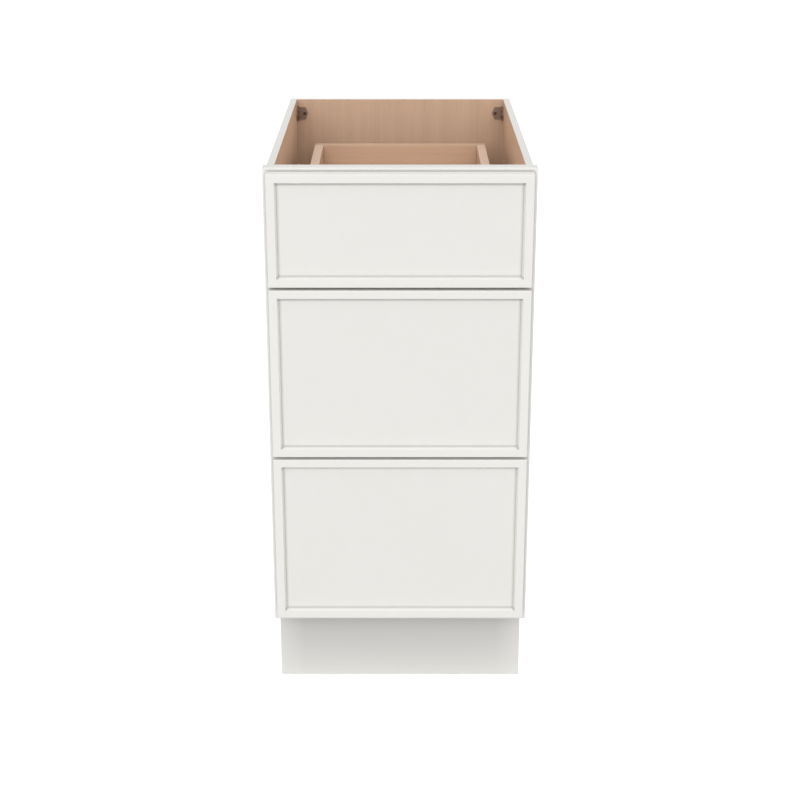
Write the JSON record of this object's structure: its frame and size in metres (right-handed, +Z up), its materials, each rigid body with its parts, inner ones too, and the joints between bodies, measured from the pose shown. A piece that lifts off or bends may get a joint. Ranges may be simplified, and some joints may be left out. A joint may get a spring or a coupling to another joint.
{
  "type": "vanity drawer base cabinet",
  "caption": "Narrow bathroom vanity base with a face frame, an open top, a toe space and slim-framed drawers on undermount slides.",
  "frame": {"origin": "middle of the footprint on the floor, with the drawers closed", "axes": "+Z up, -Y towards the drawer faces, +X to the right of someone facing them"},
  "size_m": [0.381, 0.554, 0.819],
  "materials": {
    "white_paint": "satin white paint on wood",
    "birch_ply": "clear-coated birch plywood",
    "maple": "clear-coated maple",
    "slide_steel": "zinc-plated rolled steel",
    "bracket_plastic": "grey moulded plastic",
    "brace_plastic": "brown moulded plastic",
    "bumper_rubber": "clear soft bumper",
    "screw_zinc": "zinc-plated screws"
  },
  "bodies": {
    "carcass": {"left_side_panel": "white_paint", "right_side_panel": "white_paint", "back_panel": "birch_ply", "cabinet_floor": "birch_ply", "toe_kick_board": "white_paint", "frame_left_stile": "white_paint", "frame_right_stile": "white_paint", "frame_top_rail": "white_paint", "frame_upper_middle_rail": "white_paint", "frame_lower_middle_rail": "white_paint", "frame_bottom_rail": "white_paint", "corner_brace_left": "brace_plastic", "corner_brace_right": "brace_plastic", "corner_brace_screws": "screw_zinc", "slide_rear_brackets": "bracket_plastic", "slide_screws": "screw_zinc", "front_bumpers": "bumper_rubber", "upper_slide_cabinet_rails": "slide_steel", "middle_slide_cabinet_rails": "slide_steel", "lower_slide_cabinet_rails": "slide_steel"},
    "upper_drawer": {"upper_front_left_stile": "white_paint", "upper_front_right_stile": "white_paint", "upper_front_top_rail": "white_paint", "upper_front_bottom_rail": "white_paint", "upper_front_panel": "white_paint", "upper_box_left_side": "maple", "upper_box_right_side": "maple", "upper_box_front": "maple", "upper_box_back": "maple", "upper_box_bottom": "birch_ply", "upper_slide_drawer_rails": "slide_steel", "upper_front_screws": "screw_zinc"},
    "middle_drawer": {"middle_front_left_stile": "white_paint", "middle_front_right_stile": "white_paint", "middle_front_top_rail": "white_paint", "middle_front_bottom_rail": "white_paint", "middle_front_panel": "white_paint", "middle_box_left_side": "maple", "middle_box_right_side": "maple", "middle_box_front": "maple", "middle_box_back": "maple", "middle_box_bottom": "birch_ply", "middle_slide_drawer_rails": "slide_steel", "middle_front_screws": "screw_zinc"},
    "lower_drawer": {"lower_front_left_stile": "white_paint", "lower_front_right_stile": "white_paint", "lower_front_top_rail": "white_paint", "lower_front_bottom_rail": "white_paint", "lower_front_panel": "white_paint", "lower_box_left_side": "maple", "lower_box_right_side": "maple", "lower_box_front": "maple", "lower_box_back": "maple", "lower_box_bottom": "birch_ply", "lower_slide_drawer_rails": "slide_steel", "lower_front_screws": "screw_zinc"},
    "upper_slide_runner": {"upper_slide_middle_rails": "slide_steel"},
    "middle_slide_runner": {"middle_slide_middle_rails": "slide_steel"},
    "lower_slide_runner": {"lower_slide_middle_rails": "slide_steel"}
  },
  "joints": [
    {"name": "upper_drawer_slide", "type": "slide", "parent": "carcass", "child": "upper_drawer", "axis": [0, -1, 0], "range_m": [0, 0.42]},
    {"name": "middle_drawer_slide", "type": "slide", "parent": "carcass", "child": "middle_drawer", "axis": [0, -1, 0], "range_m": [0, 0.42]},
    {"name": "lower_drawer_slide", "type": "slide", "parent": "carcass", "child": "lower_drawer", "axis": [0, -1, 0], "range_m": [0, 0.42]},
    {"name": "upper_runner_slide", "type": "slide", "parent": "carcass", "child": "upper_slide_runner", "axis": [0, -1, 0], "range_m": [0, 0.21]},
    {"name": "middle_runner_slide", "type": "slide", "parent": "carcass", "child": "middle_slide_runner", "axis": [0, -1, 0], "range_m": [0, 0.21]},
    {"name": "lower_runner_slide", "type": "slide", "parent": "carcass", "child": "lower_slide_runner", "axis": [0, -1, 0], "range_m": [0, 0.21]}
  ],
  "couplings": [
    {"joint": "upper_runner_slide", "follows": "upper_drawer_slide", "ratio": 0.5},
    {"joint": "middle_runner_slide", "follows": "middle_drawer_slide", "ratio": 0.5},
    {"joint": "lower_runner_slide", "follows": "lower_drawer_slide", "ratio": 0.5}
  ]
}
